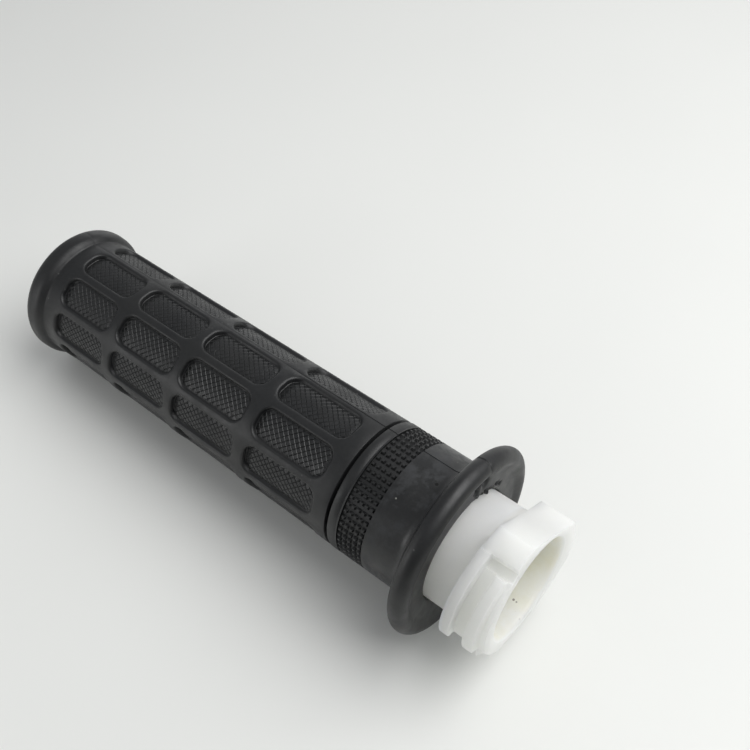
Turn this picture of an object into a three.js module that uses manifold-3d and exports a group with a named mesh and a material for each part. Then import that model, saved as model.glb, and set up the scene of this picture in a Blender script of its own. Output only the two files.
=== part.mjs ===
// A motorcycle throttle grip: a moulded rubber sleeve on a nylon throttle tube with its cable drum.
// Millimetres. X runs along the handlebar bore, +X inboard and out of the drum's open end, +Z up.
// The origin is the centre of the bore's mouth. Angles are counted about X, from +Y towards +Z.
import * as THREE from "three";
import { mergeVertices } from "three/addons/utils/BufferGeometryUtils.js";
import Module from "manifold-3d";

const wasm = await Module();
wasm.setup();

const FIT_GAP = 0.3;
const ROUND_SEGMENTS = 60;
const ARC_STEP = 8;

// Throttle tube.
const tube = { outboardX: -129.5, boreRadius: 11.4, outerRadius: 12.75, leadIn: 0.5 };
const mouth = { radius: 12.1, depth: 0.8 };

// Cable drum on the tube's inboard end: a core with two ridges that guide the cable, and a block that
// stops the twist. Flats are planes that cut the drum, given by their normal's angle and their distance.
const drum = { outboardX: -9.0, coreRadius: 15.05, ridgeRadius: 16.7, ridgeEnd: 198 };
const ridgeA = { from: -9.0, to: -6.6 };
const ridgeB = { from: -3.7, to: -1.2 };
const stopAngle = 114.6;
const nippleSeatEnd = 123.6;
const blockTop = { from: 56, to: stopAngle, radius: 16.4 };
const blockSide = { from: -51, to: 57, radius: 17.4 };
const flats = [
  { angle: 57.6, distance: 12.6 },
  { angle: 16.6, distance: 16.05 },
  { angle: -63.6, distance: 14.25 },
  { angle: -95.4, distance: 12.95 },
];

// Rubber sleeve: radii of its outside, from the outboard end to the inboard flange.
const sleeveBore = tube.outerRadius + FIT_GAP;
const sleeveBoreEndX = tube.outboardX - FIT_GAP;
const endX = -135.2;
const endPanel = { radius: 8.5, depth: 0.8, slope: 0.8 };
const endRim = { radius: 16.3, round: 2.6, crownFrom: -132.6, crownTo: -131.6 };
const neck = { x: -129.2, radius: 14.85 };
const body = { outboardX: -125.7, outboardRadius: 14.9, inboardRadius: 15.25 };
const groove = { from: -39.8, to: -39.1, radius: 14.0 };
const cuffRadius = 15.3;
const knurl = { from: -36.5, to: -30.1, floorRadius: 14.85, ribs: 60, ribShare: 0.6 };
const flange = { x: -17.2, round: 2.25, roundCentreRadius: 19.3, rootFillet: 3.0 };
const sleeveMouth = { x: -15.9, radius: sleeveBore };

// Grip pads: pockets with a rounded rectangular outline. The rows get a little longer towards the drum.
const pad = { perRow: 10, width: 7.3, corner: 2.7, floorHeight: 14.15 };
const padRows = [
  { x: -125.3, length: 16.9 },
  { x: -106.0, length: 18.2 },
  { x: -85.5, length: 19.1 },
  { x: -63.4, length: 19.8 },
];
const partingAngle = 73;

const radians = THREE.MathUtils.degToRad;

// A closed geometry as a manifold solid.
function solidOf(geometry) {
  const bare = geometry.clone();
  bare.deleteAttribute("normal");
  bare.deleteAttribute("uv");
  const merged = mergeVertices(bare, 1e-4);
  const corners = merged.index.array;
  const kept = [];
  for (let i = 0; i < corners.length; i += 3) {
    const [a, b, c] = [corners[i], corners[i + 1], corners[i + 2]];
    if (a !== b && b !== c && c !== a) kept.push(a, b, c);
  }
  return new wasm.Manifold(
    new wasm.Mesh({
      numProp: 3,
      vertProperties: merged.attributes.position.array,
      triVerts: new Uint32Array(kept),
    }),
  );
}

// A manifold solid as a named mesh.
function meshOf(solid, name, material) {
  const { vertProperties, triVerts } = solid.getMesh();
  const geometry = new THREE.BufferGeometry();
  geometry.setAttribute("position", new THREE.BufferAttribute(vertProperties, 3));
  geometry.setIndex(new THREE.BufferAttribute(triVerts, 1));
  geometry.computeVertexNormals();
  const mesh = new THREE.Mesh(geometry, material);
  mesh.name = name;
  return mesh;
}

// A solid of revolution about X from [x, radius] points that go round the section clockwise.
function revolve(points) {
  const profile = points.map(([x, radius]) => new THREE.Vector2(radius, x));
  const lathe = new THREE.LatheGeometry(profile, ROUND_SEGMENTS);
  lathe.rotateZ(-Math.PI / 2);
  return solidOf(lathe);
}

// Points of an arc in the [x, radius] plane, angles in degrees from +X towards +radius.
function arcPoints(x, radius, arcRadius, from, to) {
  const steps = Math.max(2, Math.round(Math.abs(to - from) / (3 * ARC_STEP)));
  const points = [];
  for (let i = 0; i <= steps; i += 1) {
    const angle = radians(from + ((to - from) * i) / steps);
    points.push([x + arcRadius * Math.cos(angle), radius + arcRadius * Math.sin(angle)]);
  }
  return points;
}

// A flat outline in the YZ plane, extruded along X between two stations.
function extrudeAlongX(shape, from, to) {
  const slab = new THREE.ExtrudeGeometry(shape, { depth: to - from, bevelEnabled: false });
  // The outline's x and y become Y and Z, and its depth becomes X.
  slab.applyMatrix4(new THREE.Matrix4().set(0, 0, 1, from, 1, 0, 0, 0, 0, 1, 0, 0, 0, 0, 0, 1));
  return solidOf(slab);
}

// A sector of the drum between two angles, from inside the core out to a radius.
function drumSector(span, angles, radius) {
  const inner = (tube.outerRadius + drum.coreRadius) / 2;
  const steps = Math.ceil((angles.to - angles.from) / (ARC_STEP / 1.5));
  const shape = new THREE.Shape();
  for (let i = 0; i <= steps; i += 1) {
    const angle = radians(angles.from + ((angles.to - angles.from) * i) / steps);
    const point = [radius * Math.cos(angle), radius * Math.sin(angle)];
    if (i === 0) shape.moveTo(...point);
    else shape.lineTo(...point);
  }
  for (let i = steps; i >= 0; i -= 1) {
    const angle = radians(angles.from + ((angles.to - angles.from) * i) / steps);
    shape.lineTo(inner * Math.cos(angle), inner * Math.sin(angle));
  }
  return extrudeAlongX(shape, span.from, span.to);
}

// The stock outside a flat on the drum: a slab from the flat's plane outwards.
function flatCutter(flat) {
  const reach = 2 * blockSide.radius;
  const cutter = new THREE.BoxGeometry(reach, reach, 2 * reach);
  cutter.translate(drum.outboardX - FIT_GAP + reach / 2, flat.distance + reach / 2, 0);
  cutter.rotateX(radians(flat.angle));
  return solidOf(cutter);
}

function throttleTube() {
  const wholeDrum = { from: drum.outboardX, to: 0 };
  const turned = revolve([
    [tube.outboardX, tube.boreRadius],
    [tube.outboardX, tube.outerRadius - tube.leadIn],
    [tube.outboardX + tube.leadIn, tube.outerRadius],
    [drum.outboardX, tube.outerRadius],
    [drum.outboardX, drum.coreRadius],
    [0, drum.coreRadius],
    [0, mouth.radius],
    [-mouth.depth, tube.boreRadius],
    [tube.outboardX, tube.boreRadius],
  ]);
  return turned
    .add(drumSector(wholeDrum, blockTop, blockTop.radius))
    .add(drumSector(wholeDrum, blockSide, blockSide.radius))
    .add(drumSector(ridgeA, { from: stopAngle - 1, to: drum.ridgeEnd }, drum.ridgeRadius))
    .add(drumSector(ridgeB, { from: nippleSeatEnd, to: drum.ridgeEnd }, drum.ridgeRadius))
    .subtract(wasm.Manifold.union(flats.map(flatCutter)));
}

// The outside of the rubber, from the middle of the end wall to the mouth, and back down the bore.
function sleeveProfile() {
  const rimCentre = endRim.radius - endRim.round;
  const fillet = flange.rootFillet;
  const flangeOutboardX = flange.x - flange.round;
  return [
    [endX + endPanel.depth, 0],
    [endX + endPanel.depth, endPanel.radius],
    [endX, endPanel.radius + endPanel.slope],
    ...arcPoints(endRim.crownFrom, rimCentre, endRim.round, 180, 90),
    ...arcPoints(endRim.crownTo, rimCentre, endRim.round, 90, 30),
    [neck.x, neck.radius],
    [body.outboardX, body.outboardRadius],
    [groove.from, body.inboardRadius],
    [groove.from, groove.radius],
    [groove.to, groove.radius],
    [groove.to, cuffRadius],
    [knurl.from, cuffRadius],
    [knurl.from, knurl.floorRadius],
    [knurl.to, knurl.floorRadius],
    [knurl.to, cuffRadius],
    ...arcPoints(flangeOutboardX - fillet, cuffRadius + fillet, fillet, 270, 360),
    ...arcPoints(flange.x, flange.roundCentreRadius, flange.round, 180, 0),
    [sleeveMouth.x, sleeveMouth.radius],
    [sleeveBoreEndX, sleeveBore],
    [sleeveBoreEndX, 0],
  ];
}

// A ring whose outside is cut into ribs along X.
function knurlRing() {
  const shape = new THREE.Shape();
  const pitch = 360 / knurl.ribs;
  const half = (pitch * knurl.ribShare) / 2;
  const overlap = 0.2;
  for (let i = 0; i < knurl.ribs; i += 1) {
    for (const [offset, radius] of [
      [-pitch / 2, knurl.floorRadius],
      [-half, knurl.floorRadius],
      [-half, cuffRadius],
      [half, cuffRadius],
      [half, knurl.floorRadius],
    ]) {
      const angle = radians(i * pitch + offset);
      const point = [radius * Math.cos(angle), radius * Math.sin(angle)];
      if (i === 0 && offset === -pitch / 2) shape.moveTo(...point);
      else shape.lineTo(...point);
    }
  }
  const hole = new THREE.Path();
  hole.absarc(0, 0, (sleeveBore + knurl.floorRadius) / 2, 0, 2 * Math.PI, true);
  shape.holes.push(hole);
  return extrudeAlongX(shape, knurl.from - overlap, knurl.to + overlap);
}

// The pocket of one pad, as a prism that points along +Z, with a flat floor.
function padPrism(row) {
  const half = pad.width / 2;
  const corner = pad.corner;
  const outline = new THREE.Shape();
  const centres = [
    [row.length - corner, half - corner, 0],
    [corner, half - corner, 90],
    [corner, corner - half, 180],
    [row.length - corner, corner - half, 270],
  ];
  centres.forEach(([cx, cy, start], index) => {
    const from = radians(start);
    if (index === 0) outline.moveTo(cx + corner, cy);
    outline.absarc(cx, cy, corner, from, from + Math.PI / 2, false);
  });
  const depth = body.inboardRadius - pad.floorHeight + 1;
  const prism = new THREE.ExtrudeGeometry(outline, { depth, bevelEnabled: false, curveSegments: 1 });
  prism.translate(row.x, 0, pad.floorHeight);
  return prism;
}

// All the pads' pockets, one line of them between each two ribs of the body.
function padPockets() {
  const prisms = [];
  for (const row of padRows) {
    for (let i = 0; i < pad.perRow; i += 1) {
      const middle = partingAngle + (360 / pad.perRow) * (i + 0.5);
      const prism = padPrism(row);
      prism.rotateX(radians(middle - 90));
      prisms.push(solidOf(prism));
    }
  }
  return wasm.Manifold.union(prisms);
}

function gripSleeve() {
  return revolve(sleeveProfile()).subtract(padPockets()).add(knurlRing());
}

const rubber = new THREE.MeshStandardMaterial({ color: 0x1d1e20, roughness: 0.72, metalness: 0 });
const nylon = new THREE.MeshStandardMaterial({ color: 0xe4e6df, roughness: 0.42, metalness: 0 });

const group = new THREE.Group();
group.add(meshOf(throttleTube(), "throttle_tube", nylon));
group.add(meshOf(gripSleeve(), "grip_sleeve", rubber));

export default group;
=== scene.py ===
"""A motorcycle throttle grip: a moulded rubber sleeve on a nylon throttle tube with its cable drum.

Lengths are in millimetres until they become vertices. X runs along the bore and angles are counted
in degrees about X, from +Y towards +Z, as in the CAD model.
"""
import math

import bmesh
import bpy
import numpy as np
from mathutils import Matrix, Vector, noise
from mathutils.geometry import delaunay_2d_cdt


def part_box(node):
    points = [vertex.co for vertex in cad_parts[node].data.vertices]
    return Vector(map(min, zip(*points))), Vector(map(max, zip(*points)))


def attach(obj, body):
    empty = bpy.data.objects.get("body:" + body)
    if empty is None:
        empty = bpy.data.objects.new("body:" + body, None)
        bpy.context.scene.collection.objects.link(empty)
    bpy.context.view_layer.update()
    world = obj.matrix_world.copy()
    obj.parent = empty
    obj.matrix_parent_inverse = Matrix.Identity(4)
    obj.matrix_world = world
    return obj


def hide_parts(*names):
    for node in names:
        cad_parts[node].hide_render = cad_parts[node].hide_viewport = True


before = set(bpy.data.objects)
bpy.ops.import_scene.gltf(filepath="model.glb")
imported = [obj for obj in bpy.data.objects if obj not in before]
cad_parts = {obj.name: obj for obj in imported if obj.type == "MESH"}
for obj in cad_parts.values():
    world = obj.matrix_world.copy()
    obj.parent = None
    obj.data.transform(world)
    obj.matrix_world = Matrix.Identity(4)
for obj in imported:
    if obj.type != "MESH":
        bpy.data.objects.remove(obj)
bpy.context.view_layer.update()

SLEEVE_LOW, SLEEVE_HIGH = (corner * 1000 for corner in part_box("grip_sleeve"))
TUBE_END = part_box("throttle_tube")[0].x * 1000
MM = 0.001
WAVE_LENGTH = 6.0

# Stations along the sleeve, measured from its outboard end.
END = SLEEVE_LOW.x
FLANGE_TOP = SLEEVE_HIGH.z
RIM_RADIUS = 16.3
RIM_ROUND = 2.6
BORE = 13.05
FIT_GAP = 0.3
BORE_END = TUBE_END - FIT_GAP
REFERENCE_RADIUS = 14.9
BODY_OUTBOARD = (-125.75, 14.9)
BODY_INBOARD = (-40.2, 15.25)
CUFF = 15.3
FLANGE_X = -17.2
FLANGE_ROUND = 2.25
ROOT_FILLET = 3.0
SEAMS = (73.0, 253.0)

# Grip pads: start and length of each row, the edges of the rows' tiles, and the pocket's outline.
PAD_ROWS = ((-125.3, 16.9), (-106.0, 18.2), (-85.5, 19.1), (-63.4, 19.8))
TILE_EDGES = (-125.95, -107.2, -86.65, -64.9, -43.0)
PADS_ROUND = 10
TILE_HALF = math.pi * REFERENCE_RADIUS / PADS_ROUND
PAD_WIDTH = 7.45
PAD_CORNER = 2.75
SEAM_WIDTH = 0.16
# Depth of the pocket's lip against the distance inside its outline.
LIP_AT = (-0.45, -0.2, -0.02, 0.1, 0.19, 0.28, 0.38)
LIP_DEPTH = (0.0, -0.06, -0.18, -0.38, -0.76, -0.84, -0.84)
HATCH_PITCH = 1.06
HATCH_SLOPE = 0.15
HATCH_TOP = -0.74
HATCH_DEPTH = 0.12
# The pocket dips at its outboard end and rises at its inboard end: height, over this length.
DIP = (-0.42, 1.6)
RISE = (0.3, 3.0)


def body_radius(x):
    (x0, r0), (x1, r1) = BODY_OUTBOARD, BODY_INBOARD
    return r0 + (r1 - r0) * np.clip((x - x0) / (x1 - x0), 0, 1)


def seam(angle, x):
    """Height of the mould's parting line: a fine groove, deeper towards the cuff."""
    depth = 0.04 + 0.16 * min(1.0, max(0.0, (x + 70) / 22))
    total = 0.0
    for at in SEAMS:
        off = math.radians((angle - at + 180) % 360 - 180) * REFERENCE_RADIUS
        total -= depth * max(0.0, 1 - abs(off) / SEAM_WIDTH)
    return total


def weld_key(x, angle):
    return round(x, 3), round(angle % 360, 3) % 360


class Skin:
    """A closed surface round the X axis, made of rings and tiles that share vertices."""

    def __init__(self):
        self.points = []
        self.faces = []
        self.welded = {}

    def add(self, x, angle, radius):
        a = math.radians(angle)
        self.points.append((x, radius * math.cos(a), radius * math.sin(a)))
        return len(self.points) - 1

    def weld(self, x, angle, radius):
        """The vertex at this place of the surface, made the first time it is asked for."""
        key = weld_key(x, angle)
        if key not in self.welded:
            self.welded[key] = self.add(x, angle, radius)
        return self.welded[key]

    def ring(self, x, radius, angles, mark=seam):
        """A ring of vertices. x and radius may be functions of the angle."""
        made = []
        for angle in angles:
            station = x(angle) if callable(x) else x
            height = radius(angle) if callable(radius) else radius
            if mark:
                height += mark(angle, station)
            made.append((angle, self.add(station, angle, height)))
        return made

    def bridge(self, a, b):
        """Faces between two rings that start at the same angle, with any number of vertices each."""
        i = j = 0
        n, m = len(a), len(b)

        def at(ring, k):
            turn, k = divmod(k, len(ring))
            return ring[k][0] + 360 * turn, ring[k][1]

        while i < n or j < m:
            next_a, next_b = at(a, i + 1)[0], at(b, j + 1)[0]
            if i < n and j < m and abs(next_a - next_b) < 1e-3:
                self.faces.append((at(a, i)[1], at(a, i + 1)[1], at(b, j + 1)[1], at(b, j)[1]))
                i, j = i + 1, j + 1
            elif j >= m or (i < n and next_a < next_b):
                self.faces.append((at(a, i)[1], at(a, i + 1)[1], at(b, j)[1]))
                i += 1
            else:
                self.faces.append((at(a, i)[1], at(b, j + 1)[1], at(b, j)[1]))
                j += 1

    def sweep(self, start, rings):
        """Bridges a ring to each of the next ones in turn, and returns the last."""
        for ring in rings:
            self.bridge(start, ring)
            start = ring
        return start

    def cap(self, ring, x):
        """Closes a ring with a flat fan."""
        centre = self.add(x, 0, 0)
        for k in range(len(ring)):
            self.faces.append((ring[k][1], ring[(k + 1) % len(ring)][1], centre))

    def build(self, name, material, sharp, waviness):
        """The finished object. Edges sharper than sharp degrees stay hard. The outside waves a little."""
        points = np.array(self.points)
        if waviness:
            radius = np.hypot(points[:, 1], points[:, 2])
            for k in np.flatnonzero(radius > BORE + 0.3):
                lift = 1 + waviness * noise.noise(Vector(points[k]) / WAVE_LENGTH) / radius[k]
                points[k, 1:] *= lift
        mesh = bpy.data.meshes.new(name)
        mesh.from_pydata((points * MM).tolist(), [], self.faces)
        bm = bmesh.new()
        bm.from_mesh(mesh)
        bmesh.ops.recalc_face_normals(bm, faces=bm.faces)
        bm.to_mesh(mesh)
        bm.free()
        mesh.polygons.foreach_set("use_smooth", [True] * len(mesh.polygons))
        mesh.set_sharp_from_angle(angle=math.radians(sharp))
        mesh.materials.append(material)
        piece = bpy.data.objects.new(name, mesh)
        bpy.context.scene.collection.objects.link(piece)
        return piece


def arc(x, radius, size, start, end, step=9):
    """Stations of an arc in the (x, radius) plane, angles from +X towards +radius."""
    count = max(2, round(abs(end - start) / step))
    turns = [math.radians(start + (end - start) * k / count) for k in range(count + 1)]
    return [(x + size * math.cos(t), radius + size * math.sin(t)) for t in turns]


# ---------------------------------------------------------------- the pads

def rounded_outline(length, inset):
    """The pocket's outline, centred, moved in by inset."""
    corner = PAD_CORNER - inset
    cx, cy = length / 2 - PAD_CORNER, PAD_WIDTH / 2 - PAD_CORNER
    outline = []
    for quarter, (sx, sy) in enumerate(((1, 1), (-1, 1), (-1, -1), (1, -1))):
        for k in range(9):
            turn = math.radians(90 * quarter + 90 * k / 8)
            outline.append((sx * cx + corner * math.cos(turn), sy * cy + corner * math.sin(turn)))
        straight = 6 if quarter in (0, 2) else 2
        start = outline[-1]
        nx, ny = ((-1, 1), (-1, -1), (1, -1), (1, 1))[quarter]
        turn = math.radians(90 * (quarter + 1))
        end = (nx * cx + corner * math.cos(turn), ny * cy + corner * math.sin(turn))
        for k in range(1, straight):
            outline.append(tuple(start[i] + (end[i] - start[i]) * k / straight for i in (0, 1)))
    return outline


def inside(u, v, length):
    """Distance inside the pocket's outline."""
    qx = np.abs(u) - (length / 2 - PAD_CORNER)
    qy = np.abs(v) - (PAD_WIDTH / 2 - PAD_CORNER)
    outside = np.hypot(np.maximum(qx, 0), np.maximum(qy, 0)) + np.minimum(np.maximum(qx, qy), 0)
    return PAD_CORNER - outside


def clip(polygon, edge, closed):
    """A line or polygon cut to the inside of a convex outline that runs anticlockwise."""
    for (x0, y0), (x1, y1) in zip(edge, edge[1:] + edge[:1]):
        def depth(p):
            return (x1 - x0) * (p[1] - y0) - (y1 - y0) * (p[0] - x0)

        kept = []
        count = len(polygon)
        for k in range(count if closed else count - 1):
            p, q = polygon[k], polygon[(k + 1) % count]
            dp, dq = depth(p), depth(q)
            if dp >= 0:
                kept.append(p)
            if dp * dq < 0:
                t = dp / (dp - dq)
                kept.append((p[0] + (q[0] - p[0]) * t, p[1] + (q[1] - p[1]) * t))
            if not closed and dq >= 0:
                kept.append(q)
        polygon = kept
        if len(polygon) < 2:
            return []
    return polygon


def turned(a, b):
    """From the hatch's own axes to the pad's."""
    return (a + b) / math.sqrt(2), (a - b) / math.sqrt(2)


def pad_tile(length, low, high):
    """One pad and its share of the ribs: flat points, their heights, and triangles."""
    points, edges = [], []

    def line(run, closed):
        first = len(points)
        points.extend(run)
        count = len(run)
        segments = count if closed else count - 1
        edges.extend((first + k, first + (k + 1) % count) for k in range(segments))

    along = np.linspace(low, high, 21)
    for v in (-TILE_HALF, -TILE_INNER, TILE_INNER, TILE_HALF):
        line([(u, v) for u in along], False)
    for u in (low, high):
        line([(u, v) for v in TILE_ACROSS], False)
    for inset in LIP_AT:
        line(rounded_outline(length, inset), True)
    floor = rounded_outline(length, LIP_AT[-1])
    reach = math.ceil(length / HATCH_PITCH)
    for k in range(-reach, reach + 1):
        at = (k + 0.5) * HATCH_PITCH
        grooves = (
            [turned(at, -length), turned(at, length)],
            [turned(-length, at), turned(length, at)],
        )
        for groove in grooves:
            cut = clip(groove, floor, False)
            if len(cut) >= 2 and math.dist(cut[0], cut[-1]) > 0.1:
                line([cut[0], cut[-1]], False)
        for m in range(-reach, reach + 1):
            h = HATCH_PITCH / 2 - HATCH_SLOPE
            ca, cb = k * HATCH_PITCH, m * HATCH_PITCH
            corners = [turned(ca + s * h, cb + t * h) for s, t in ((-1, -1), (-1, 1), (1, 1), (1, -1))]
            cut = clip(corners, floor, True)
            if len(cut) > 2:
                line(cut, True)
    verts, _, faces, *_ = delaunay_2d_cdt([Vector(p) for p in points], edges, [], 0, 1e-4, False)
    flat = np.array([v[:] for v in verts])
    u, v = flat[:, 0], flat[:, 1]
    depth = inside(u, v, length)
    height = np.interp(depth, LIP_AT, LIP_DEPTH)
    a, b = (u + v) / math.sqrt(2), (u - v) / math.sqrt(2)
    off = np.minimum(*(np.abs((w / HATCH_PITCH) % 1 - 0.5) * HATCH_PITCH for w in (a, b)))
    hatch = HATCH_TOP - HATCH_DEPTH * (1 - np.clip(off / HATCH_SLOPE, 0, 1))
    height = np.where(depth > LIP_AT[-1] + 0.01, hatch, height)
    for (change, reach), from_end in ((DIP, length / 2 + u), (RISE, length / 2 - u)):
        near_end = 1 - np.clip((from_end - LIP_AT[-1]) / reach, 0, 1)
        height += change * near_end * np.clip((depth - 0.1) / 0.09, 0, 1)
    return flat, height, faces


TILE_INNER = TILE_HALF - SEAM_WIDTH
TILE_ACROSS = [-TILE_HALF] + list(np.linspace(-TILE_INNER, TILE_INNER, 13)) + [TILE_HALF]
ROUND = [
    SEAMS[0] + 360 / PADS_ROUND * (k + 0.5 + v / (2 * TILE_HALF))
    for k in range(PADS_ROUND)
    for v in TILE_ACROSS[:-1]
]


def pads(skin):
    """The tiled part of the sleeve. Returns its first and last ring."""
    for (start, length), low, high in zip(PAD_ROWS, TILE_EDGES, TILE_EDGES[1:]):
        middle = start + length / 2
        flat, height, faces = pad_tile(length, low - middle, high - middle)
        for k in range(PADS_ROUND):
            index = []
            for (u, v), h in zip(flat, height):
                x = middle + u
                angle = SEAMS[0] + 360 / PADS_ROUND * (k + 0.5 + v / (2 * TILE_HALF))
                index.append(skin.weld(x, angle, body_radius(x) + h + seam(angle, x)))
            skin.faces.extend(tuple(index[i] for i in face) for face in faces)
    return [
        [(angle, skin.welded[weld_key(x, angle)]) for angle in ROUND]
        for x in (TILE_EDGES[0], TILE_EDGES[-1])
    ]


# ---------------------------------------------------------------- the sleeve

KNURL = (-36.5, -30.1)
KNURL_COLUMNS = 5
KNURL_ROWS = 60
KNURL_FLOOR = -0.55
KNURL_WALL = 0.05
# One block and its gap: height of each step, and where the steps lie along the bore and across it.
KNURL_LEVELS = (0, 0, 1, 1, 0)
KNURL_ALONG = (0, 0.13, 0.28, 0.72, 0.87)
KNURL_ACROSS = (0, 0.2, 0.36, 0.64, 0.8)


def knurl_rings(skin):
    """Rings of the cuff's band of small raised blocks."""
    turn = 360 / KNURL_ROWS
    angles = [SEAMS[0] + turn * (row + s) for row in range(KNURL_ROWS) for s in KNURL_ACROSS]
    across = dict(zip(angles, KNURL_LEVELS * KNURL_ROWS))
    pitch = (KNURL[1] - KNURL[0]) / KNURL_COLUMNS
    stations = [
        (KNURL[0] + pitch * (column + s), level)
        for column in range(KNURL_COLUMNS)
        for s, level in zip(KNURL_ALONG, KNURL_LEVELS)
    ]
    rings = [skin.ring(KNURL[0] - KNURL_WALL, CUFF, angles)]
    for x, along in stations + [(KNURL[1], 0)]:
        def height(angle):
            return CUFF + KNURL_FLOOR * (1 - along * across[angle])

        rings.append(skin.ring(x, height, angles))
    rings.append(skin.ring(KNURL[1] + KNURL_WALL, CUFF, angles))
    return rings


# Pits of the torn seam on the flange's face: radius, angle, size and depth.
PITS = (
    (20.4, 74.5, 0.4, 0.4), (19.5, 71.5, 0.45, 0.8), (18.6, 70.5, 0.7, 1.8), (17.8, 73.5, 0.9, 2.8),
    (17.4, 77.5, 0.85, 2.8), (16.4, 71.0, 0.75, 2.4), (16.7, 80.5, 0.6, 2.2), (15.3, 81.0, 0.6, 1.6),
    (14.1, 47.0, 0.6, 1.0), (14.3, 40.0, 0.5, 0.8),
)
FINE_ANGLES = [34.02 + 0.75 * k for k in range(72)]
FACE_ANGLES = sorted(set(ROUND) | {SEAMS[0] + (angle - SEAMS[0]) % 360 for angle in FINE_ANGLES})


def sleeve(material):
    skin = Skin()
    first, last = pads(skin)
    rim = RIM_RADIUS - RIM_ROUND
    outboard = [(-127.0, 14.88), (-128.2, 14.85), (-129.0, 14.84), (-129.2, 14.87)]
    outboard += arc(-131.6, rim - 0.05, RIM_ROUND, 31, 90, 6)
    outboard += arc(END + RIM_ROUND, rim, RIM_ROUND, 90, 180)
    outboard += [(END, 10.2), (END + 0.1, 9.5), (END + 0.5, 8.9), (END + 0.8, 8.3), (END + 0.8, 4.0)]
    end = skin.sweep(first, [skin.ring(x, r, ROUND) for x, r in outboard])
    skin.cap(end, END + 0.8)

    groove = [
        (-41.6, 15.25), (-40.1, 15.25), (-39.9, 15.2), (-39.8, 15.0), (-39.77, 14.2), (-39.65, 14.0),
        (-39.25, 14.0), (-39.13, 14.2), (-39.1, 15.05), (-39.0, 15.25), (-38.8, 15.34), (-37.1, 15.34),
        (-36.95, 15.24), (-36.85, 15.24),
    ]
    last = skin.sweep(last, [skin.ring(x, r, ROUND) for x, r in groove])
    last = skin.sweep(last, knurl_rings(skin))
    cuff = [(-29.8, CUFF), (-27.5, CUFF), (-25.2, CUFF), (-23.2, CUFF)]
    cuff += arc(FLANGE_X - FLANGE_ROUND - ROOT_FILLET, CUFF + ROOT_FILLET, ROOT_FILLET, 270, 360, 8)
    cuff += arc(FLANGE_X, FLANGE_TOP - FLANGE_ROUND, FLANGE_ROUND, 180, 0, 10)

    def swollen(r):
        """The soft flange stands out a little further on one side."""
        share = max(0.0, (r - CUFF) / (FLANGE_TOP - CUFF))
        return lambda angle: r + 0.5 * share * math.exp(-(((angle - 27 + 180) % 360 - 180) / 32) ** 2)

    last = skin.sweep(last, [skin.ring(x, swollen(r), ROUND) for x, r in cuff])

    def torn_face(x, r):
        """The dished face, with the pits and the crack of its torn seam."""
        def station(angle):
            a = math.radians(angle)
            here = (r * math.cos(a), r * math.sin(a))
            depth = 0.0
            for pit_r, pit_angle, size, pit_depth in PITS:
                b = math.radians(pit_angle)
                away = math.dist(here, (pit_r * math.cos(b), pit_r * math.sin(b)))
                depth = max(depth, pit_depth * math.exp(-(away / size) ** 2))
            return x - depth + 0.1 * min(1.0, depth) * noise.noise(Vector((0.0, r * 3.0, angle)))
        return station

    def torn(x, r):
        """The mouth's edge, with a ragged scrap of flash on both sides of the seam."""
        def mask(angle):
            off = (angle - 62 + 180) % 360 - 180
            return max(0.0, 1 - abs(off) / 26)

        def station(angle):
            return x + 1.3 * mask(angle) * noise.noise(Vector((angle * 0.23, r * 2.0, 4.0)))

        def height(angle):
            return r - 0.25 * mask(angle) * (0.5 + noise.noise(Vector((angle * 0.31, r, 9.0))))
        return station, height

    dish = [(-14.95 - 0.16 * k, 19.2 - 0.33 * k) for k in range(1, 16)]
    dish = [(max(-15.8, x), r) for x, r in dish]
    rings = [skin.ring(torn_face(x, r), swollen(r), FACE_ANGLES, None) for x, r in dish]
    for x, r in ((-15.85, 13.9), (-15.9, 13.45), (-16.05, 13.15)):
        station, height = torn(x, r)
        rings.append(skin.ring(station, height, ROUND, None))
    last = skin.sweep(last, rings)
    bore = [(-16.4, BORE), (-40.0, BORE), (-80.0, BORE), (BORE_END, BORE), (BORE_END, 6.0)]
    last = skin.sweep(last, [skin.ring(x, r, ROUND[::2], None) for x, r in bore])
    skin.cap(last, BORE_END)
    return skin.build("grip_sleeve_rubber", material, 36, 0.03)


# ---------------------------------------------------------------- the throttle tube

TUBE_RADIUS = 12.75
TUBE_BORE = 11.4
MOUTH = 12.1
CORE = 15.05
RIDGE = 16.65
DRUM_END = -9.0
RIDGE_A = (-9.0, -6.6)
RIDGE_B = (-3.7, -1.2)
STOP = 114.6
SEAT_END = 123.6
RIDGES_END = 197.5
BLOCK_FROM = -51.0
FLATS = ((57.6, 12.98), (16.6, 16.05), (-63.6, 14.25), (-95.4, 13.0))
DRUM_ANGLES = [0.75 * k for k in range(480)]
EDGE = 0.22
BLOCK_SIDE = 17.4
BLOCK_TOP = 16.4
SEAT_DEPTH = 0.45
# A small hook at the end of the ridges, on the inboard one.
HOOK_ANGLE = 203.0
HOOK_HALF = 4.5
# The drum's lean: its most, the angle where that is, and how soon it is reached from the end face.
LEAN = 1.2
LEAN_ANGLE = 61.6
LEAN_REACH = 1.6
FAR = 99.0


def lean(x, angle):
    """The drum's outboard features lean a little against its end face."""
    return x + LEAN * math.cos(math.radians(angle - LEAN_ANGLE)) * min(1.0, -x / LEAN_REACH)


def flats_limit(angle):
    """How far out the drum reaches before a flat cuts it."""
    limit = FAR
    for normal, distance in FLATS:
        c = math.cos(math.radians(angle - normal))
        if c > 0.2:
            limit = min(limit, distance / c)
    return limit


def ramp(value, start, end):
    """A smooth step from 0 at start to 1 at end."""
    t = min(1.0, max(0.0, (value - start) / (end - start)))
    return t * t * (3 - 2 * t)


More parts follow.
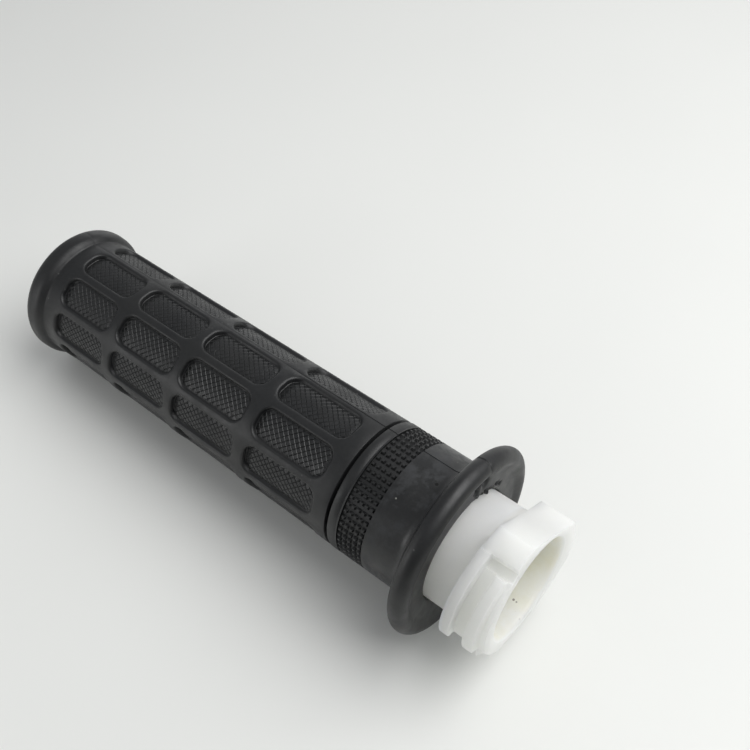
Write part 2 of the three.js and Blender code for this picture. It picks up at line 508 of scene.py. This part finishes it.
def block_radius(angle):
    """Radius of the stop block, or the core's where there is none."""
    a = (angle + 180) % 360 - 180
    radius = CORE + (BLOCK_SIDE - CORE) * ramp(a, BLOCK_FROM - 1, BLOCK_FROM + 1)
    radius += (BLOCK_TOP - BLOCK_SIDE) * ramp(a, 50, 62)
    return radius + (CORE - BLOCK_TOP) * ramp(a, STOP - 0.4, STOP + 0.8)


def drum_radius(angle, along_a, along_b, hook):
    """The drum's outside, where each ridge and the hook have a share of their height."""
    a = angle % 360
    radius = block_radius(angle)
    fade = 1 - ramp(a, RIDGES_END - 1, RIDGES_END + 1) if a > 90 else 0.0
    ridge_a = fade * ramp(a, STOP - 3, STOP) * along_a
    ridge_b = fade * ramp(a, SEAT_END - 0.6, SEAT_END + 0.6) * along_b
    radius = max(radius, CORE + (RIDGE - CORE) * max(ridge_a, ridge_b))
    seat = ramp(a, STOP - 0.2, STOP + 1.0) * (1 - ramp(a, SEAT_END - 1.0, SEAT_END))
    radius -= SEAT_DEPTH * seat * (1 - along_a)
    radius += hook * max(0.0, 1 - abs(a - HOOK_ANGLE) / HOOK_HALF)
    return min(radius, flats_limit(angle))


def tube(material):
    skin = Skin()
    angles = DRUM_ANGLES

    def drum_ring(x, along_a=0.0, along_b=0.0, hook=0.0, inset=0.0):
        return skin.ring(
            lambda angle: lean(x, angle),
            lambda angle: drum_radius(angle, along_a, along_b, hook) - inset,
            angles, None,
        )

    outer = [
        (TUBE_END, TUBE_BORE + 0.5), (TUBE_END, 12.1), (TUBE_END + 0.2, 12.45), (TUBE_END + 0.6, 12.7),
    ]
    outer += [(x, TUBE_RADIUS) for x in (TUBE_END + 1.2, -110, -80, -50, -25, -16, -12)]
    start = skin.ring(TUBE_END + 0.5, TUBE_BORE, angles, None)
    last = skin.sweep(start, [skin.ring(x, r, angles, None) for x, r in outer])

    def root_ring(gap, rise):
        """Fillet between the tube and the drum's outboard face, gone where a flat meets the tube."""
        return skin.ring(
            lambda angle: lean(DRUM_END - gap, angle),
            lambda angle: TUBE_RADIUS + min(rise, drum_radius(angle, 1, 0, 0) - EDGE - TUBE_RADIUS),
            angles, None,
        )

    fillet = ((0.5, 0.0), (0.2, 0.05), (0.04, 0.2))
    last = skin.sweep(last, [root_ring(gap, rise) for gap, rise in fillet])
    drum = [root_ring(0.0, FAR)]
    a0, a1 = RIDGE_A
    b0, b1 = RIDGE_B
    profile = [
        (a0 + 0.06, 0.96, 0.0), (a0 + EDGE, 1.0, 0.0), (a1 - 0.5, 1.0, 0.0), (a1 - 0.2, 0.97, 0.0),
        (a1 - 0.05, 0.85, 0.0), (a1 + 0.08, 0.3, 0.0), (a1 + 0.25, 0.05, 0.0), (a1 + 0.6, 0.0, 0.0),
        (b0 - 0.6, 0.0, 0.0), (b0 - 0.25, 0.0, 0.05), (b0 - 0.08, 0.0, 0.3), (b0 + 0.05, 0.0, 0.85),
        (b0 + 0.2, 0.0, 0.97), (b0 + 0.5, 0.0, 1.0), (b1 - 0.5, 0.0, 1.0), (b1 - 0.2, 0.0, 0.97),
        (b1 - 0.05, 0.0, 0.85), (b1 + 0.08, 0.0, 0.3), (b1 + 0.25, 0.0, 0.05),
    ]
    hooks = {len(profile) - 3: 0.3, len(profile) - 2: 1.2, len(profile) - 1: 1.4}
    for k, (x, along_a, along_b) in enumerate(profile):
        drum.append(drum_ring(x, along_a, along_b, hooks.get(k, 0.0)))
    drum.append(drum_ring(-0.6, hook=0.5))
    drum.append(drum_ring(-0.25))
    drum.append(drum_ring(-0.07, inset=0.07))
    drum.append(drum_ring(0.0, inset=0.25))
    last = skin.sweep(last, drum)

    mouth_edge = MOUTH + 0.12

    def halfway(angle):
        return mouth_edge + (drum_radius(angle, 0, 0, 0) - 0.25 - mouth_edge) * 0.5

    end_face = [skin.ring(0.0, r, angles, None) for r in (halfway, mouth_edge)]
    last = skin.sweep(last, end_face)
    bore = [(-0.05, MOUTH), (-0.4, 11.75), (-0.8, 11.45), (-1.2, TUBE_BORE)]
    bore += [(x, TUBE_BORE) for x in (-6, -14, -30, -60, -90, -115)]
    last = skin.sweep(last, [skin.ring(x, r, angles, None) for x, r in bore])
    skin.bridge(last, start)
    return skin.build("throttle_tube_nylon", material, 32, 0.0)


# ---------------------------------------------------------------- materials

class Nodes:
    """A short way to build a material's node tree."""

    def __init__(self, name):
        self.material = bpy.data.materials.new(name)
        self.material.use_nodes = True
        self.tree = self.material.node_tree
        self.tree.nodes.clear()
        self.shader = self.add("ShaderNodeBsdfPrincipled")
        output = self.add("ShaderNodeOutputMaterial")
        self.link(self.shader.outputs[0], output.inputs["Surface"])
        self.place = self.add("ShaderNodeTexCoord").outputs["Object"]

    def add(self, kind, **settings):
        node = self.tree.nodes.new(kind)
        for key, value in settings.items():
            setattr(node, key, value)
        return node

    def link(self, source, target):
        self.tree.links.new(source, target)

    def feed(self, node, values):
        for key, value in values.items():
            socket = node.inputs[key]
            if isinstance(value, bpy.types.NodeSocket):
                self.link(value, socket)
            else:
                socket.default_value = value
        return node

    def noise(self, scale, detail=3.0, roughness=0.5):
        node = self.add("ShaderNodeTexNoise")
        self.feed(node, {
            "Vector": self.place, "Scale": scale, "Detail": detail, "Roughness": roughness,
        })
        return node.outputs["Fac"]

    def spots(self, scale, size):
        """1 inside scattered small dots, 0 elsewhere."""
        node = self.add("ShaderNodeTexVoronoi", feature="F1")
        self.feed(node, {"Vector": self.place, "Scale": scale})
        return self.between(node.outputs["Distance"], size, size * 0.6)

    def between(self, value, low, high, to_low=0.0, to_high=1.0):
        node = self.add("ShaderNodeMapRange")
        self.feed(node, {0: value, 1: low, 2: high, 3: to_low, 4: to_high})
        return node.outputs[0]

    def math(self, operation, a, b=0.0):
        node = self.add("ShaderNodeMath", operation=operation)
        self.feed(node, {0: a, 1: b})
        return node.outputs[0]

    def mix(self, factor, a, b):
        node = self.add("ShaderNodeMix", data_type="RGBA")
        self.feed(node, {"Factor": factor, 6: a, 7: b})
        return node.outputs[2]

    def axis(self, index):
        node = self.add("ShaderNodeSeparateXYZ")
        self.link(self.place, node.inputs[0])
        return node.outputs[index]

    def near(self, x, angle, radius, size):
        """1 at one spot of the surface, 0 beyond size from it. Millimetres and degrees."""
        a = math.radians(angle)
        spot = Vector((x, radius * math.cos(a), radius * math.sin(a))) * MM
        node = self.add("ShaderNodeVectorMath", operation="DISTANCE")
        self.feed(node, {0: self.place, 1: spot})
        return self.between(node.outputs["Value"], size * MM, size * MM * 0.6)

    def bump(self, height, strength, distance):
        node = self.add("ShaderNodeBump")
        self.feed(node, {"Height": height, "Strength": strength, "Distance": distance})
        return node.outputs["Normal"]


def rubber_material():
    n = Nodes("grip_rubber")
    broad = n.noise(70, 4, 0.6)
    fine = n.noise(1400, 3, 0.6)
    base = n.mix(n.between(broad, 0.3, 0.7), (0.0038, 0.0044, 0.0052, 1), (0.0075, 0.0078, 0.0076, 1))
    base = n.mix(n.between(fine, 0.35, 0.75, 0, 0.4), base, (0.016, 0.0165, 0.017, 1))
    x = n.axis(0)
    cuff = n.math("MULTIPLY", n.between(x, -0.031, -0.029), n.between(x, -0.018, -0.021))
    scuff = n.math("MULTIPLY", cuff, n.between(n.noise(260, 5, 0.7), 0.48, 0.62))
    base = n.mix(n.math("MULTIPLY", scuff, 0.6), base, (0.03, 0.032, 0.035, 1))
    dust = n.math("MULTIPLY", n.spots(520, 0.12), n.between(n.noise(90, 2), 0.56, 0.62))
    base = n.mix(n.math("MULTIPLY", dust, 0.4), base, (0.12, 0.12, 0.115, 1))
    base = n.mix(n.near(-27.7, 118.5, CUFF, 0.22), base, (0.22, 0.22, 0.2, 1))
    pit = n.near(-22.9, 93, CUFF, 0.5)
    base = n.mix(pit, base, (0.0005, 0.0005, 0.0005, 1))
    rough = n.between(n.noise(180, 5, 0.65), 0.3, 0.7, 0.34, 0.56)
    worn = n.math("MULTIPLY", n.math("SUBTRACT", scuff, 0.35), n.math("MULTIPLY", cuff, 0.2))
    rough = n.math("ADD", rough, worn)
    rough = n.math("ADD", rough, n.math("MULTIPLY", pit, 0.5))
    fine_grain = n.math("MULTIPLY", n.noise(3200, 2), 0.5)
    grain = n.math("ADD", fine_grain, n.math("MULTIPLY", n.noise(500, 3), 0.8))
    n.feed(n.shader, {
        "Base Color": base, "Roughness": rough, "Normal": n.bump(grain, 0.35, 0.00006),
        "Specular IOR Level": 0.55,
    })
    return n.material


def nylon_material():
    n = Nodes("tube_nylon")
    x = n.axis(0)
    cloud = n.noise(110, 3, 0.5)
    # Painted light: the collar's lighter, bluish base colour stands in for floor bounce, light through
    # its thin wall and reflection; the drum keeps the nylon's own warm tone.
    collar_light_mask = n.between(x, -0.0095, -0.0085, 1, 0)
    warm = n.mix(n.between(cloud, 0.3, 0.7), (0.79, 0.795, 0.75, 1), (0.83, 0.835, 0.79, 1))
    collar_painted_light = n.mix(n.between(cloud, 0.3, 0.7), (0.89, 0.935, 0.97, 1), (0.92, 0.955, 0.98, 1))
    base = n.mix(collar_light_mask, warm, collar_painted_light)
    yz = n.add("ShaderNodeVectorMath", operation="MULTIPLY")
    n.feed(yz, {0: n.place, 1: (0, 1, 1)})
    away = n.add("ShaderNodeVectorMath", operation="LENGTH")
    n.link(yz.outputs[0], away.inputs[0])
    bore = n.between(away.outputs["Value"], 0.0120, 0.0116)
    stain = n.between(n.noise(190, 4, 0.6), 0.35, 0.7, 0.25, 1.0)
    base = n.mix(n.math("MULTIPLY", bore, stain), base, (0.76, 0.735, 0.60, 1))
    grit = n.math("MULTIPLY", n.spots(520, 0.17), n.between(n.noise(150, 2), 0.55, 0.6))
    base = n.mix(n.math("MULTIPLY", n.math("MULTIPLY", grit, bore), 0.8), base, (0.13, 0.10, 0.07, 1))
    rough = n.between(n.noise(240, 4, 0.6), 0.3, 0.7, 0.38, 0.52)
    grain = n.math("ADD", n.math("MULTIPLY", n.noise(2200, 2), 0.4), n.noise(320, 3))
    n.feed(n.shader, {
        "Base Color": base, "Roughness": rough, "Normal": n.bump(grain, 0.25, 0.00008),
        "Subsurface Weight": 1.0, "Subsurface Radius": (1.0, 1.0, 0.95), "Subsurface Scale": 0.012,
        "Specular IOR Level": 0.45,
    })
    return n.material


def floor_material():
    n = Nodes("floor_paper")
    base = n.mix(n.between(n.noise(9, 3), 0.3, 0.7), (0.83, 0.835, 0.805, 1), (0.85, 0.855, 0.825, 1))
    n.feed(n.shader, {
        "Base Color": base, "Roughness": 0.6, "Normal": n.bump(n.noise(900, 2), 0.05, 0.0001),
    })
    return n.material


# ---------------------------------------------------------------- the object

sleeve_piece = sleeve(rubber_material())
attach(sleeve_piece, "sleeve")
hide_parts("grip_sleeve")

tube_piece = tube(nylon_material())
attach(tube_piece, "tube")
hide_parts("throttle_tube")

# ---------------------------------------------------------------- floor, light and camera

# The grip lies on its two ends, so the floor is tilted against the bore.
FLOOR_NORMAL = Vector((0.0453, -0.0540, 0.9975)).normalized()
RADIAL = math.sqrt(1 - FLOOR_NORMAL.x ** 2)
ROUND_CENTRE = Vector((FLANGE_X, 0, 0))
DROP = (FLANGE_TOP - FLANGE_ROUND) * RADIAL + FLANGE_ROUND
FLOOR_POINT = (ROUND_CENTRE - FLOOR_NORMAL * DROP) * MM
FLOOR_HALF = 1.6


def make_floor():
    across = FLOOR_NORMAL.orthogonal().normalized() * FLOOR_HALF
    along = FLOOR_NORMAL.cross(across)
    signs = ((-1, -1), (1, -1), (1, 1), (-1, 1))
    corners = [FLOOR_POINT + across * s + along * t for s, t in signs]
    mesh = bpy.data.meshes.new("floor")
    mesh.from_pydata([c[:] for c in corners], [], [(0, 1, 2, 3)])
    mesh.materials.append(floor_material())
    piece = bpy.data.objects.new("floor", mesh)
    bpy.context.scene.collection.objects.link(piece)


RIGHT = Vector((0.772, 0.635, 0.0)).normalized()
FORWARD = Vector((-0.426, 0.518, -0.742))
FORWARD = (FORWARD - RIGHT * FORWARD.dot(RIGHT)).normalized()
UP = RIGHT.cross(FORWARD)
# The picture's upward direction, laid flat.
FLAT_UP = Vector((-0.635, 0.772, 0))
TARGET = Vector((-0.07, 0.0, 0.0))
RIM_TARGET = Vector((-0.112, -0.01, 0.005))


def make_camera():
    data = bpy.data.cameras.new("camera")
    data.sensor_width = 36.0
    data.lens = 48.8
    data.clip_start = 0.005
    piece = bpy.data.objects.new("camera", data)
    matrix = Matrix((RIGHT, UP, -FORWARD)).transposed().to_4x4()
    matrix.translation = Vector((41.2, -97.4, 174.2)) * MM
    piece.matrix_world = matrix
    bpy.context.scene.collection.objects.link(piece)
    bpy.context.scene.camera = piece


def make_light(name, direction, distance, size, power, target=TARGET):
    """A soft rectangle of light at a distance from its target, in metres and watts."""
    data = bpy.data.lights.new(name, "AREA")
    data.shape = "RECTANGLE"
    data.size, data.size_y = size
    data.energy = power
    piece = bpy.data.objects.new(name, data)
    towards = direction.normalized()
    piece.rotation_euler = towards.to_track_quat("Z", "Y").to_euler()
    piece.location = target + towards * distance
    piece.visible_camera = False
    bpy.context.scene.collection.objects.link(piece)


def make_world():
    world = bpy.data.worlds.new("world")
    world.use_nodes = True
    nodes, links = world.node_tree.nodes, world.node_tree.links
    background = nodes["Background"]
    background.inputs["Color"].default_value = (0.95, 0.97, 1.0, 1)
    # The side of the room that the light comes towards is darker.
    facing = nodes.new("ShaderNodeVectorMath")
    facing.operation = "DOT_PRODUCT"
    facing.inputs[1].default_value = FLAT_UP * 0.8 + Vector((0, 0, 0.6))
    links.new(nodes.new("ShaderNodeTexCoord").outputs["Generated"], facing.inputs[0])
    fall = nodes.new("ShaderNodeMapRange")
    links.new(facing.outputs["Value"], fall.inputs[0])
    for socket, value in ((1, -0.7), (2, -0.1), (3, 0.08), (4, 0.38)):
        fall.inputs[socket].default_value = value
    links.new(fall.outputs[0], background.inputs["Strength"])
    bpy.context.scene.world = world


make_floor()
make_camera()
make_light("key", RIGHT * 1.0 + FLAT_UP * -0.15 + Vector((0, 0, 1.5)), 0.5, (0.5, 0.45), 2.3)
make_light("back", RIGHT * 0.15 + FLAT_UP * 1.0 + Vector((0, 0, 0.26)), 0.9, (1.0, 0.3), 0.8)
make_light("side", Vector((-0.38, -0.9, 0.24)), 0.21, (0.12, 0.1), 0.075, RIM_TARGET)
make_world()
bpy.context.scene.view_settings.view_transform = "Standard"
